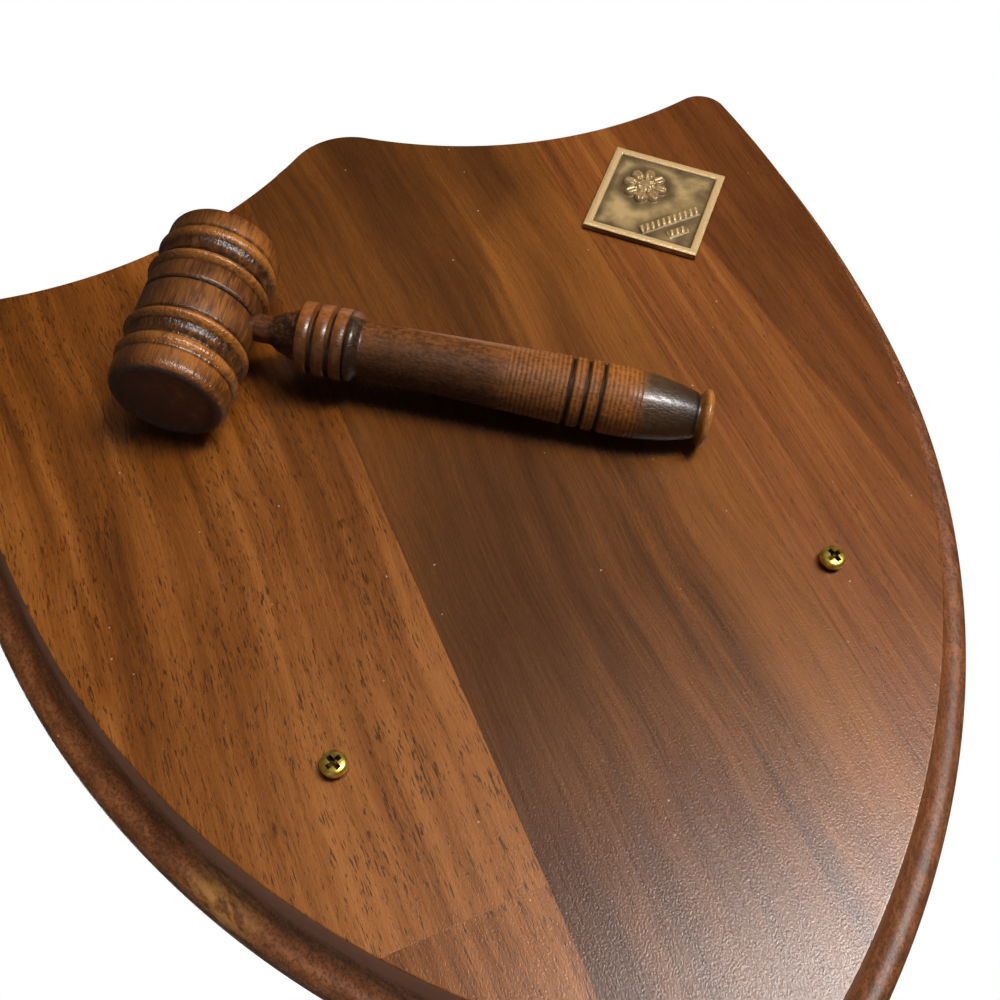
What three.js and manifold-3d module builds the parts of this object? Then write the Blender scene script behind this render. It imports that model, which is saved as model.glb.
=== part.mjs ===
// Presentation plaque: a shield-shaped walnut board with an ogee edge, carrying a small turned gavel,
// a square metal medallion set on its corner, and the two screws left from a missing nameplate.
// Millimetres. +Z runs up towards the shield's peak, +X to the right as seen from the front,
// and the show face looks along -Y. The back of the board lies on the plane y = 0.
import * as THREE from 'three';
import { mergeVertices } from 'three/addons/utils/BufferGeometryUtils.js';
import Module from 'manifold-3d';

// Board
const boardWidth = 228.6;
const boardHeight = 259.0;
const boardThickness = 19;
const flankRadius = 304.6;
const widestDrop = 65.2;
const flankEndAngle = THREE.MathUtils.degToRad(10.2);
const scoopRadius = 101.5;
const scoopOffset = 73.2;
const peakArrisRadius = 16.6;
const cornerArrisRadius = 7.0;
const tipArrisRadius = 2.4;
const backEasing = 0.8;

// Routed ogee edge: a cove under the face arris, then a round that meets the side wall
const coveWidth = 6.1;
const coveDepth = 9.9;
const roundWidth = 3.1;
const roundDepth = 3.2;

// Keyhole slot in the back, for a screw in the wall
const keyholeDrop = 48;
const keyholeTravel = 14;
const keyholeHeadWidth = 9.6;
const keyholeNeckWidth = 4.8;
const keyholeLip = 3.6;
const keyholeDepth = 9.6;

// Nameplate screws: the plate itself is missing
const screwSpacing = 111.1;
const screwRise = 90.3;
const screwSideShift = 1.2;
const screwTilt = THREE.MathUtils.degToRad(0.8);
const screwHeadRadius = 2.7;
const screwHeadHeight = 1.9;
const screwHeadBand = 0.5;
const screwProud = 1.1;
const screwShankRadius = 1.4;
const screwShankLength = 11;
const screwPointLength = 3;
const crossLength = 3.0;
const crossWidth = 0.8;
const crossDepth = 1.0;

// Medallion: a square plate standing on its corner, with a raised rim and a relief
const medallionSide = 29.1;
const medallionThickness = 1.6;
const medallionRim = 2.3;
const medallionFieldDepth = 0.6;
const medallionCornerRadius = 0.7;
const medallionInset = 44.9;
const medallionDrop = 62.2;
const medallionTilt = THREE.MathUtils.degToRad(1.5);
const rosetteRadius = 5.6;
const rosettePetals = 8;
const rosetteRise = 5.4;
const petalLength = 4.0;
const petalWidth = 2.7;
const petalHeight = 1.0;
const bossWidth = 4.5;
const bossHeight = 1.2;
const barHeight = 0.5;
const barThickness = 2.0;
const upperBarLength = 17.0;
const lowerBarLength = 6.0;
const upperBarDrop = 7.2;
const barPitch = 4.2;

// Gavel head, measured along its own axis from its middle
const gavelInset = 66.1;
const gavelDrop = 66.3;
const gavelAngle = THREE.MathUtils.degToRad(33.7);
const headHalfLength = 22.5;
const headShift = 1.5;
const headGrooveRadius = 12.3;
const headBarrelRadius = 13.0;
const headBeadRadius = 13.9;
const headRimBeadRadius = 13.6;
const headDrumRadius = 12.9;
const headCoveRadius = 12.4;
const headFaceRadius = 10.5;
const headFaceDish = 0.5;
const barrelEnd = 6.7;
const beadEnd = 9.5;
const coveEnd = 13.1;
const rimBeadEnd = 16.2;
const drumRounding = 2.4;
const grooveHalfWidth = 0.6;

// Gavel handle, measured from the head's axis. It enters the head at the groove round the barrel,
// which lies headShift from the head's middle.
const neckRadius = 3.1;
const neckEnd = 16.0;
const coneRadius = 5.9;
const ringStart = 23.0;
const ringRadius = 8.0;
const ringWidth = 2.8;
const ringGap = 1.1;
const ringCount = 3;
const ringGapDepth = 1.5;
const shoulderLength = 3.2;
const shaftStartRadius = 6.1;
const shaftSwellRadius = 7.8;
const swellAt = 86.6;
const lineCount = 3;
const linePitch = 3.45;
const lineWidth = 0.8;
const lineDepth = 0.5;
const taperStart = 93.6;
const taperEndRadius = 5.3;
const buttonStart = 112.1;
const buttonGap = 1.2;
const buttonNeckRadius = 4.9;
const buttonRadius = 6.5;
const buttonLength = 2.6;
const tenonLength = 10;

// Clearances
const fitGap = 0.3;
const restGap = 0.3;

// Facets
const headSegments = 32;
const handleSegments = 24;
const screwSegments = 16;
const keyholeSegments = 10;

const wasm = await Module();
wasm.setup();

// Closed three.js geometry to a solid that can be joined and cut
function toSolid(geometry) {
  const bare = geometry.clone();
  bare.deleteAttribute('normal');
  bare.deleteAttribute('uv');
  const merged = mergeVertices(bare, 1e-4);
  return new wasm.Manifold(new wasm.Mesh({
    numProp: 3,
    vertProperties: new Float32Array(merged.attributes.position.array),
    triVerts: new Uint32Array(merged.index.array),
  }));
}

function toGeometry(solid) {
  const mesh = solid.getMesh();
  const geometry = new THREE.BufferGeometry();
  geometry.setAttribute('position', new THREE.BufferAttribute(mesh.vertProperties, 3));
  geometry.setIndex(new THREE.BufferAttribute(mesh.triVerts, 1));
  geometry.computeVertexNormals();
  return geometry;
}

// Points of an arc with the outward normal of the board at each of them.
// side is 1 where the arc bulges out of the board and -1 where it scoops into it.
function arcPoints(centre, radius, from, to, steps, side) {
  const points = [];
  for (let i = 0; i < steps; i += 1) {
    const angle = from + (to - from) * i / steps;
    const direction = new THREE.Vector2(Math.cos(angle), Math.sin(angle));
    const point = direction.clone().multiplyScalar(radius).add(centre);
    points.push({ point, normal: direction.multiplyScalar(side) });
  }
  return points;
}

const angleTo = (from, to) => Math.atan2(to.y - from.y, to.x - from.x);

// Where two circles cross, on the side of the larger x
function circlesMeet(a, radiusA, b, radiusB) {
  const between = b.clone().sub(a);
  const distance = between.length();
  const along = (distance ** 2 + radiusA ** 2 - radiusB ** 2) / (2 * distance);
  const across = Math.sqrt(radiusA ** 2 - along ** 2);
  const unit = between.divideScalar(distance);
  const foot = a.clone().addScaledVector(unit, along);
  const normal = new THREE.Vector2(-unit.y, unit.x);
  const first = foot.clone().addScaledVector(normal, across);
  const second = foot.clone().addScaledVector(normal, -across);
  return first.x > second.x ? first : second;
}

// Right half of the board's outer outline in (x, z), from the tip up to the peak.
// Six arcs follow each other tangentially: tip, lower flank, flank, corner, scoop and peak.
function halfOutline() {
  const edgeWidth = coveWidth + roundWidth;
  const peakRadius = peakArrisRadius + edgeWidth;
  const cornerRadius = cornerArrisRadius + edgeWidth;
  const tipRadius = tipArrisRadius + edgeWidth;
  const top = boardHeight / 2;

  const flank = new THREE.Vector2(boardWidth / 2 - flankRadius, top - widestDrop);
  const tip = new THREE.Vector2(0, tipRadius - top);
  const peak = new THREE.Vector2(0, top - peakRadius);

  const downFlank = new THREE.Vector2(Math.cos(flankEndAngle), -Math.sin(flankEndAngle));
  const toTip = tip.clone().sub(flank);
  const reach = flankRadius - tipRadius;
  const miss = toTip.clone().addScaledVector(downFlank, -reach).lengthSq();
  const lowerRadius = tipRadius + miss / (2 * (reach - toTip.dot(downFlank)));
  const lower = flank.clone().addScaledVector(downFlank, flankRadius - lowerRadius);

  const scoopRise = Math.sqrt((scoopRadius + peakRadius) ** 2 - scoopOffset ** 2);
  const scoop = new THREE.Vector2(scoopOffset, peak.y + scoopRise);
  const corner = circlesMeet(flank, flankRadius - cornerRadius, scoop, scoopRadius + cornerRadius);

  const tipEnd = angleTo(lower, tip);
  const cornerStart = angleTo(flank, corner);
  const scoopFromCorner = angleTo(scoop, corner);
  const scoopFromPeak = angleTo(scoop, peak) + 2 * Math.PI;
  return [
    ...arcPoints(tip, tipRadius, -Math.PI / 2, tipEnd, 4, 1),
    ...arcPoints(lower, lowerRadius, tipEnd, -flankEndAngle, 14, 1),
    ...arcPoints(flank, flankRadius, -flankEndAngle, cornerStart, 10, 1),
    ...arcPoints(corner, cornerRadius, cornerStart, scoopFromCorner + Math.PI, 8, 1),
    ...arcPoints(scoop, scoopRadius, scoopFromCorner + 2 * Math.PI, scoopFromPeak, 14, -1),
    ...arcPoints(peak, peakRadius, scoopFromPeak - Math.PI, Math.PI / 2, 7, 1),
    ...arcPoints(peak, peakRadius, Math.PI / 2, Math.PI, 1, 1),
  ];
}

// The whole outline, counterclockwise from the tip as the front is seen
function boardOutline() {
  const right = halfOutline();
  const left = right.slice(1, -1).reverse().map(({ point, normal }) => ({
    point: new THREE.Vector2(-point.x, point.y),
    normal: new THREE.Vector2(-normal.x, normal.y),
  }));
  return [...right, ...left];
}

// Inset from the outer outline and depth below the face, from the arris to the back
function edgeProfile() {
  const steps = 5;
  const rings = [];
  for (let i = 0; i <= steps; i += 1) {
    const angle = i / steps * Math.PI / 2;
    rings.push([roundWidth + coveWidth * Math.cos(angle), coveDepth * Math.sin(angle)]);
  }
  for (let i = 1; i <= steps; i += 1) {
    const angle = i / steps * Math.PI / 2;
    rings.push([roundWidth * (1 - Math.sin(angle)), coveDepth + roundDepth * (1 - Math.cos(angle))]);
  }
  rings.push([0, boardThickness - backEasing]);
  rings.push([backEasing, boardThickness]);
  return rings;
}

function boardBlank() {
  const outline = boardOutline();
  const rings = edgeProfile();
  const count = outline.length;
  const positions = [];
  for (const [inset, depth] of rings) {
    for (const { point, normal } of outline) {
      positions.push(point.x - normal.x * inset, depth - boardThickness, point.y - normal.y * inset);
    }
  }
  const triangles = [];
  for (let ring = 0; ring < rings.length - 1; ring += 1) {
    for (let i = 0; i < count; i += 1) {
      const next = (i + 1) % count;
      const front = ring * count;
      const back = front + count;
      triangles.push(front + i, back + i, back + next, front + i, back + next, front + next);
    }
  }
  const ringContour = (inset) => outline.map(({ point, normal }) => (
    point.clone().addScaledVector(normal, -inset)));
  const lastRing = (rings.length - 1) * count;
  for (const [a, b, c] of THREE.ShapeUtils.triangulateShape(ringContour(rings[0][0]), [])) {
    triangles.push(a, b, c);
  }
  for (const [a, b, c] of THREE.ShapeUtils.triangulateShape(ringContour(backEasing), [])) {
    triangles.push(lastRing + a, lastRing + c, lastRing + b);
  }
  const geometry = new THREE.BufferGeometry();
  geometry.setAttribute('position', new THREE.Float32BufferAttribute(positions, 3));
  geometry.setIndex(triangles);
  return geometry;
}

// A slot with round ends, from y = near to y = far behind the plane y = 0, standing along Z
function slotCutter(width, bottom, topEnd, near, far) {
  const radius = width / 2;
  const shape = new THREE.Shape();
  shape.absarc(0, topEnd, radius, 0, Math.PI);
  shape.absarc(0, bottom, radius, Math.PI, 2 * Math.PI);
  shape.closePath();
  const options = { depth: far - near, bevelEnabled: false, curveSegments: keyholeSegments };
  return new THREE.ExtrudeGeometry(shape, options).rotateX(Math.PI / 2).translate(0, -near, 0);
}

function keyholeCutters() {
  const hang = boardHeight / 2 - keyholeDrop;
  const entry = hang - keyholeTravel;
  const overcut = 1;
  const almostEntry = entry + 0.01;
  return [
    slotCutter(keyholeHeadWidth, entry, almostEntry, -overcut, keyholeDepth),
    slotCutter(keyholeNeckWidth, entry, hang, -overcut, keyholeDepth),
    slotCutter(keyholeHeadWidth, entry, hang, keyholeLip, keyholeDepth),
  ];
}

function screwPlaces() {
  const middle = new THREE.Vector3(screwSideShift, -boardThickness, screwRise - boardHeight / 2);
  const along = new THREE.Vector3(Math.cos(screwTilt), 0, Math.sin(screwTilt));
  return {
    screw_left: middle.clone().addScaledVector(along, -screwSpacing / 2),
    screw_right: middle.clone().addScaledVector(along, screwSpacing / 2),
  };
}

function screwHoleCutter(place) {
  const overcut = 1;
  const depth = screwShankLength + screwPointLength + fitGap;
  const radius = screwShankRadius + fitGap;
  return new THREE.CylinderGeometry(radius, radius, depth + overcut, screwSegments)
    .translate(place.x, place.y + (depth - overcut) / 2, place.z);
}

function boardGeometry() {
  const holes = Object.values(screwPlaces()).map(screwHoleCutter);
  const cuts = [...keyholeCutters(), ...holes];
  const solid = cuts.reduce((board, cut) => board.subtract(toSolid(cut)), toSolid(boardBlank()));
  return toGeometry(solid);
}

// Round-headed wood screw with a cross recess, its axis on Y and the board's face at y = 0
function screwGeometry() {
  const dome = [];
  const steps = 5;
  const domeHeight = screwHeadHeight - screwHeadBand;
  for (let i = 0; i <= steps; i += 1) {
    const angle = i / steps * Math.PI / 2;
    const height = screwProud + screwHeadBand + domeHeight * Math.sin(angle);
    dome.push(new THREE.Vector2(i === steps ? 0 : screwHeadRadius * Math.cos(angle), height));
  }
  const profile = [
    new THREE.Vector2(0, -screwShankLength - screwPointLength),
    new THREE.Vector2(screwShankRadius, -screwShankLength),
    new THREE.Vector2(screwShankRadius, screwProud),
    new THREE.Vector2(screwHeadRadius, screwProud),
    ...dome,
  ];
  const overcut = 1;
  const slotHeight = crossDepth + overcut;
  const slotMiddle = screwProud + screwHeadHeight - crossDepth + slotHeight / 2;
  const slot = () => new THREE.BoxGeometry(crossLength, slotHeight, crossWidth);
  const across = slot().translate(0, slotMiddle, 0);
  const down = slot().rotateY(Math.PI / 2).translate(0, slotMiddle, 0);
  const body = toSolid(new THREE.LatheGeometry(profile, screwSegments));
  const cut = body.subtract(toSolid(across)).subtract(toSolid(down));
  return toGeometry(cut).rotateX(Math.PI);
}

// Square with rounded corners, standing on one of them, extruded from y = near outwards
function diamondPlate(side, radius, near, far) {
  const half = side / 2 - radius;
  const shape = new THREE.Shape();
  for (let corner = 0; corner < 4; corner += 1) {
    const turn = corner * Math.PI / 2;
    const centre = new THREE.Vector2(half, half).rotateAround(new THREE.Vector2(), turn);
    shape.absarc(centre.x, centre.y, radius, turn, turn + Math.PI / 2);
  }
  shape.closePath();
  return new THREE.ExtrudeGeometry(shape, { depth: far - near, bevelEnabled: false, curveSegments: 3 })
    .rotateZ(Math.PI / 4)
    .translate(0, 0, near)
    .rotateX(Math.PI / 2);
}

// Relief on the medallion's field: a rosette above two plain bars
function medallionRelief() {
  const overlap = 0.2;
  const field = medallionThickness - medallionFieldDepth;
  const raised = (geometry, height, rise) => toSolid(geometry.translate(0, -height, rise));
  const parts = [];
  for (let i = 0; i < rosettePetals; i += 1) {
    const petal = new THREE.SphereGeometry(1, 8, 6)
      .scale(petalLength / 2, petalHeight, petalWidth / 2)
      .translate(rosetteRadius - petalLength / 2, 0, 0)
      .rotateY(i / rosettePetals * 2 * Math.PI);
    parts.push(raised(petal, field, rosetteRise));
  }
  const boss = new THREE.SphereGeometry(1, 12, 8).scale(bossWidth / 2, bossHeight, bossWidth / 2);
  parts.push(raised(boss, field, rosetteRise));
  [upperBarLength, lowerBarLength].forEach((length, row) => {
    const bar = new THREE.BoxGeometry(length, barHeight + overlap, barThickness);
    const height = field + (barHeight - overlap) / 2;
    parts.push(raised(bar, height, -upperBarDrop - row * barPitch));
  });
  return parts;
}

function medallionGeometry() {
  const overcut = 1;
  const field = medallionThickness - medallionFieldDepth;
  const innerSide = medallionSide - 2 * medallionRim;
  const plate = toSolid(diamondPlate(medallionSide, medallionCornerRadius, 0, medallionThickness));
  const pocket = diamondPlate(innerSide, medallionCornerRadius, field, medallionThickness + overcut);
  const back = diamondPlate(medallionSide, medallionCornerRadius, -medallionThickness, 0);
  const framed = plate.subtract(toSolid(pocket));
  const dressed = medallionRelief().reduce((solid, part) => solid.add(part), framed);
  return toGeometry(dressed.subtract(toSolid(back)));
}

// A turned bead or cove between two stations of a profile, bulging by rise (or dipping if negative)
function swell(start, end, radius, rise, steps) {
  const points = [];
  for (let i = 0; i <= steps; i += 1) {
    const share = i / steps;
    const bulge = rise * Math.sin(share * Math.PI);
    points.push(new THREE.Vector2(radius + bulge, start + (end - start) * share));
  }
  return points;
}

// Half of the head's turned profile, from the end of the barrel to the striking face
function headHalfProfile() {
  const rimStart = headHalfLength - drumRounding;
  const rimBeadStart = coveEnd + grooveHalfWidth / 2;
  const points = [
    new THREE.Vector2(headBarrelRadius, barrelEnd - grooveHalfWidth),
    ...swell(barrelEnd, beadEnd, headGrooveRadius, headBeadRadius - headGrooveRadius, 4),
    ...swell(beadEnd + grooveHalfWidth, coveEnd, headBarrelRadius, headCoveRadius - headBarrelRadius, 3),
    ...swell(rimBeadStart, rimBeadEnd, headBarrelRadius, headRimBeadRadius - headBarrelRadius, 4),
    new THREE.Vector2(headDrumRadius, rimBeadEnd + grooveHalfWidth),
  ];
  const rounding = 3;
  for (let i = 0; i <= rounding; i += 1) {
    const angle = i / rounding * Math.PI / 2;
    const radius = headFaceRadius + (headDrumRadius - headFaceRadius) * Math.cos(angle);
    points.push(new THREE.Vector2(radius, rimStart + drumRounding * Math.sin(angle)));
  }
  points.push(new THREE.Vector2(headFaceRadius - headFaceDish, headHalfLength - headFaceDish));
  points.push(new THREE.Vector2(0, headHalfLength - headFaceDish));
  return points;
}

function headGeometry() {
  const half = headHalfProfile();
  const mirrored = half.map((point) => new THREE.Vector2(point.x, -point.y)).reverse();
  const groove = [
    new THREE.Vector2(headBarrelRadius, headShift - grooveHalfWidth),
    new THREE.Vector2(headGrooveRadius, headShift),
    new THREE.Vector2(headBarrelRadius, headShift + grooveHalfWidth),
  ];
  const body = new THREE.LatheGeometry([...mirrored, ...groove, ...half], headSegments)
    .rotateX(Math.PI / 2)
    .translate(0, 0, -headShift);
  const socketStart = headGrooveRadius - tenonLength - fitGap;
  const socketEnd = headBeadRadius + 1;
  const radius = neckRadius + fitGap;
  const socket = new THREE.CylinderGeometry(radius, radius, socketEnd - socketStart, handleSegments)
    .rotateZ(Math.PI / 2)
    .translate((socketStart + socketEnd) / 2, 0, 0);
  return toGeometry(toSolid(body).subtract(toSolid(socket)));
}

// The shaft swells in a straight taper from the shoulder up to the burned lines
function shaftRadiusAt(station, shaftStart) {
  const share = Math.min((station - shaftStart) / (swellAt - shaftStart), 1);
  return shaftStartRadius + (shaftSwellRadius - shaftStartRadius) * share;
}

function handleProfile() {
  const points = [
    new THREE.Vector2(0, headGrooveRadius - tenonLength),
    new THREE.Vector2(neckRadius, headGrooveRadius - tenonLength),
    new THREE.Vector2(neckRadius, neckEnd),
    new THREE.Vector2(coneRadius, ringStart),
  ];
  let station = ringStart;
  for (let ring = 0; ring < ringCount; ring += 1) {
    points.push(new THREE.Vector2(ringRadius, station));
    points.push(new THREE.Vector2(ringRadius, station + ringWidth));
    station += ringWidth;
    if (ring < ringCount - 1) {
      points.push(new THREE.Vector2(ringRadius - ringGapDepth, station));
      points.push(new THREE.Vector2(ringRadius - ringGapDepth, station + ringGap));
      station += ringGap;
    }
  }
  const shaftStart = station + shoulderLength;
  const shoulderSteps = 3;
  for (let i = 1; i <= shoulderSteps; i += 1) {
    const angle = i / shoulderSteps * Math.PI / 2;
    const radius = shaftStartRadius + (ringRadius - shaftStartRadius) * Math.cos(angle);
    points.push(new THREE.Vector2(radius, station + shoulderLength * Math.sin(angle)));
  }
  for (let line = 0; line < lineCount; line += 1) {
    const middle = swellAt + (line - (lineCount - 1) / 2) * linePitch;
    for (const [shift, depth] of [[-lineWidth / 2, 0], [0, lineDepth], [lineWidth / 2, 0]]) {
      const radius = shaftRadiusAt(middle + shift, shaftStart) - depth;
      points.push(new THREE.Vector2(radius, middle + shift));
    }
  }
  const taperSteps = 4;
  const taperLength = buttonStart - buttonGap - taperStart;
  for (let i = 0; i <= taperSteps; i += 1) {
    const share = i / taperSteps;
    const radius = shaftSwellRadius - (shaftSwellRadius - taperEndRadius) * share ** 2;
    points.push(new THREE.Vector2(radius, taperStart + taperLength * share));
  }
  points.push(new THREE.Vector2(buttonNeckRadius, buttonStart - buttonGap / 2));
  const buttonEnd = buttonStart + buttonLength;
  points.push(...swell(buttonStart, buttonEnd, buttonNeckRadius, buttonRadius - buttonNeckRadius, 4));
  points.push(new THREE.Vector2(0, buttonEnd));
  return points;
}

function handleGeometry() {
  return new THREE.LatheGeometry(handleProfile(), handleSegments).rotateZ(-Math.PI / 2);
}

// How far the handle tips down before the first station of its profile meets a plane that lies
// drop below the head's axis
function restingPitch(profile, drop) {
  const limits = profile
    .filter((point) => point.length() > drop)
    .map((point) => Math.asin(drop / point.length()) - Math.atan2(point.x, point.y));
  return Math.min(...limits);
}

function named(name, geometry, material) {
  const mesh = new THREE.Mesh(geometry, material);
  mesh.name = name;
  return mesh;
}

const walnut = new THREE.MeshStandardMaterial({ color: 0x7a4a28, roughness: 0.35, metalness: 0 });
const turnedWalnut = new THREE.MeshStandardMaterial({ color: 0x74401f, roughness: 0.25, metalness: 0 });
const bronze = new THREE.MeshStandardMaterial({ color: 0x9c7c4c, roughness: 0.4, metalness: 1 });
const screwBrass = new THREE.MeshStandardMaterial({ color: 0xb08d3e, roughness: 0.3, metalness: 1 });

const plaque = new THREE.Group();

plaque.add(named('shield_board', boardGeometry(), walnut));

for (const [name, place] of Object.entries(screwPlaces())) {
  const screw = named(name, screwGeometry(), screwBrass);
  screw.position.copy(place);
  plaque.add(screw);
}

const medallion = named('medallion', medallionGeometry(), bronze);
medallion.rotation.y = -medallionTilt;
medallion.position.set(
  boardWidth / 2 - medallionInset,
  -boardThickness - restGap,
  boardHeight / 2 - medallionDrop,
);
plaque.add(medallion);

// The gavel lies on the face: the beads of its head and the low side of its handle touch down,
// a rest gap above the wood
const axisHeight = headBeadRadius + restGap;
const gavelPitch = restingPitch(handleProfile(), axisHeight - restGap);
const gavel = new THREE.Group();
gavel.position.set(
  gavelInset - boardWidth / 2,
  -boardThickness - axisHeight,
  boardHeight / 2 - gavelDrop,
);
gavel.rotation.y = gavelAngle;
const pitched = new THREE.Group();
pitched.rotation.z = gavelPitch;
pitched.add(named('gavel_head', headGeometry(), turnedWalnut));
pitched.add(named('gavel_handle', handleGeometry(), turnedWalnut));
gavel.add(pitched);
plaque.add(gavel);

export default plaque;
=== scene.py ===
# %% [markdown]
# # A walnut presentation plaque
#
# This lesson dresses a shield-shaped plaque: a walnut board with a routed ogee edge, a small turned
# gavel lying across it, a square bronze medallion standing on its corner, and the two brass screws
# that are left where a nameplate once sat. The packed model gives the frame. Each piece made here
# sits exactly where its solid is, with finer shape and a finish of its own.
#
# Lengths are worked out in millimetres, as the maker would measure them, and become metres only
# when a mesh is made. +Z runs up towards the peak, +X to the right, and the show face looks
# along -Y.

# %% Load the frame
import bpy
import bmesh
import math
import numpy as np
from mathutils import Matrix, Vector


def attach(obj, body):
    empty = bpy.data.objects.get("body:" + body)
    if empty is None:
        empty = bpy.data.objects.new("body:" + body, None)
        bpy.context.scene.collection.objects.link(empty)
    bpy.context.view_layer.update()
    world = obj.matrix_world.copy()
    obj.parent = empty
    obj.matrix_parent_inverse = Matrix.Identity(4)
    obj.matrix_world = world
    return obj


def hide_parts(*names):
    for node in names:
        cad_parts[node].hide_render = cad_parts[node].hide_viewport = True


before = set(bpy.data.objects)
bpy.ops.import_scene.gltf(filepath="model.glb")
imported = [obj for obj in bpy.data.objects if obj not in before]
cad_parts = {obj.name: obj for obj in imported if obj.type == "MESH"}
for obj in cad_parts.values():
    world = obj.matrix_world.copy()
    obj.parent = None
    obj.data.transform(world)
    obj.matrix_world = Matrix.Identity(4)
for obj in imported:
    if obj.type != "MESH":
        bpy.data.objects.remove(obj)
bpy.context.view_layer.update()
MM = 0.001
FULL_TURN = 2 * math.pi
QUARTER_TURN = math.pi / 2
scene = bpy.context.scene
print("solids:", sorted(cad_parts))

# %% [markdown]
# ## The camera
#
# The photograph was taken from close by, below and to the left of the shield's middle. The lens
# and the place were worked out beforehand from the shield's outline, the two screws and the
# medallion's corners. The rows of a rotation matrix are the directions that the camera calls right,
# up and backward, so the matrix can be written down directly, with no aiming constraint.

# %% Photo camera
camera_data = bpy.data.cameras.new("photo_camera")
camera_data.sensor_width = 36
camera_data.lens = 41.244
camera_data.shift_x = 0.0121
camera_data.shift_y = 0.0125
camera_data.clip_start = 0.005
camera = bpy.data.objects.new("photo_camera", camera_data)
scene.collection.objects.link(camera)
right = Vector((0.91939, -0.02160, -0.39276))
up = Vector((0.33072, -0.49812, 0.80156))
backward = Vector((-0.21296, -0.86684, -0.45082))
camera_place = Vector((-57.95, -232.41, -110.86)) * MM
camera.matrix_world = (Matrix.Translation(camera_place)
                       @ Matrix((right, up, backward)).transposed().to_4x4())
scene.camera = camera
scene.view_settings.view_transform = "Standard"
print("camera stands", [round(c, 3) for c in camera.location], "metres from the board's back")

# %% [markdown]
# ## Shader arithmetic
#
# A wood grain is a small sum: so much figure, a little fibre, minus the pores. Written as nodes by
# hand that is a page of links, so one small class wraps a socket and lets ordinary Python
# operators add the Math nodes. The finish itself is a second class. Its `node` method makes
# every other kind of node: settings first, then the values or links of its sockets.

# %% A socket that can be calculated with
class Wire:
    """One output of a shader node. Arithmetic on it adds Math nodes."""

    def __init__(self, finish, socket):
        self.finish = finish
        self.socket = socket

    def maths(self, operation, first, second=0.0):
        return self.finish.node("ShaderNodeMath", {"operation": operation}, {0: first, 1: second})

    def __add__(self, other):
        return self.maths("ADD", self, other)

    def __sub__(self, other):
        return self.maths("SUBTRACT", self, other)

    def __rsub__(self, other):
        return self.maths("SUBTRACT", other, self)

    def __mul__(self, other):
        return self.maths("MULTIPLY", self, other)

    def __truediv__(self, other):
        return self.maths("DIVIDE", self, other)

    def __rtruediv__(self, other):
        return self.maths("DIVIDE", other, self)

    __radd__ = __add__
    __rmul__ = __mul__

    def size(self):
        return self.maths("ABSOLUTE", self)

    def most(self, other):
        return self.maths("MAXIMUM", self, other)

    def least(self, other):
        return self.maths("MINIMUM", self, other)

    def above(self, edge, softness):
        """0 well below edge, 1 well above it, with a smooth step between."""
        return self.finish.node(
            "ShaderNodeMapRange", {"interpolation_type": "SMOOTHSTEP"},
            {"Value": self, "From Min": edge - softness, "From Max": edge + softness})

    def below(self, edge, softness):
        return 1 - self.above(edge, softness)

    def near(self, place, width):
        """1 at place, falling to 0 at width on either side of it."""
        return (self - place).size().below(width / 2, width / 2)


print("a wire also has", [name for name in vars(Wire) if not name.startswith("_")])


# %% A finish that is built from nodes
class Finish:
    """A material with one Principled shader, whose other nodes come from node()."""

    def __init__(self, name):
        self.material = bpy.data.materials.new(name)
        self.material.use_nodes = True
        self.tree = self.material.node_tree
        self.shader = next(n for n in self.tree.nodes if n.type == "BSDF_PRINCIPLED")

    def fill(self, socket, value):
        if isinstance(value, Wire):
            self.tree.links.new(value.socket, socket)
        elif socket.type == "RGBA" and len(value) == 3:
            socket.default_value = (*value, 1.0)
        else:
            socket.default_value = value

    def node(self, kind, settings=None, sockets=None, out=0):
        made = self.tree.nodes.new(kind)
        for name, value in (settings or {}).items():
            if name == "stops":
                ramp = made.color_ramp
                while len(ramp.elements) < len(value):
                    ramp.elements.new(0.5)
                for element, (place, colour) in zip(ramp.elements, value):
                    element.position = place
                    element.color = (*colour, 1.0)
            else:
                setattr(made, name, value)
        for key, value in (sockets or {}).items():
            self.fill(made.inputs[key], value)
        return Wire(self, made.outputs[out])

    def mix(self, share, first, second):
        """Colour first where share is 0 and second where it is 1."""
        return self.node("ShaderNodeMix", {"data_type": "RGBA"},
                         {0: share, 6: first, 7: second}, out=2)

    def ramp(self, value, stops):
        return self.node("ShaderNodeValToRGB", {"stops": stops}, {"Fac": value})

    def place(self):
        """The point of the surface in millimetres, as three separate wires."""
        point = self.node("ShaderNodeTexCoord", out="Object")
        parts = [self.node("ShaderNodeSeparateXYZ", None, {0: point}, out=i) for i in range(3)]
        return [part * 1000 for part in parts]

    def at(self, x, y, z):
        return self.node("ShaderNodeCombineXYZ", None, {0: x, 1: y, 2: z})

    def noise(self, axes, detail=3.0, roughness=0.5, distortion=0.0, scale=1.0):
        """Noise over three wires, each of them stretched as the pattern should be."""
        return self.node("ShaderNodeTexNoise", None, {
            "Vector": self.at(*axes), "Scale": scale, "Detail": detail,
            "Roughness": roughness, "Distortion": distortion})

    def bump(self, height, distance, strength=1.0, under=None):
        sockets = {"Height": height, "Distance": distance * MM, "Strength": strength}
        if under is not None:
            sockets["Normal"] = under
        return self.node("ShaderNodeBump", None, sockets)

    def wear(self, **values):
        """Sets the shader's own sockets: Base_Color=..., Roughness=... and so on."""
        for name, value in values.items():
            self.fill(self.shader.inputs[name.replace("_", " ")], value)
        return self.material


print("shader helpers ready")

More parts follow.
